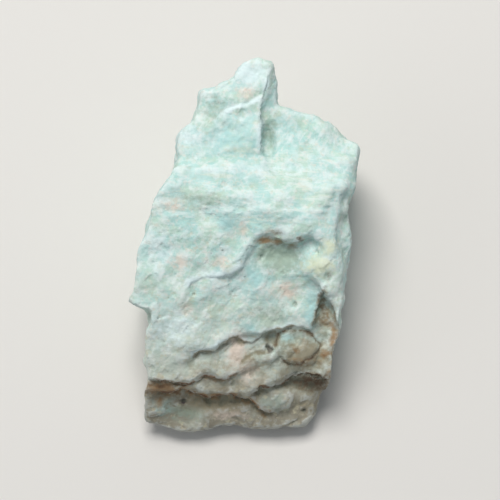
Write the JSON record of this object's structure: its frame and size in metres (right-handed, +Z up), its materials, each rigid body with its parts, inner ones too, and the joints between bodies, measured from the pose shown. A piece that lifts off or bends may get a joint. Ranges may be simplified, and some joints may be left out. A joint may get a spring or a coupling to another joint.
{
  "type": "rough mineral specimen",
  "caption": "Small lump of rough amazonite, cleaved in uneven steps, with a raised tip at one end and a thin ledged edge at the other.",
  "frame": {"origin": "on the flat resting spot of the broken back, under the middle of the stone", "axes": "+Y along the stone towards its raised tip, +Z up out of the stepped face, +X to the right as the face is seen with the tip at the top"},
  "size_m": [0.0251, 0.0396, 0.018],
  "materials": {
    "amazonite": "rough broken faces, matt with faint waxy cleavage"
  },
  "bodies": {
    "root": {"amazonite": "amazonite"}
  },
  "joints": []
}
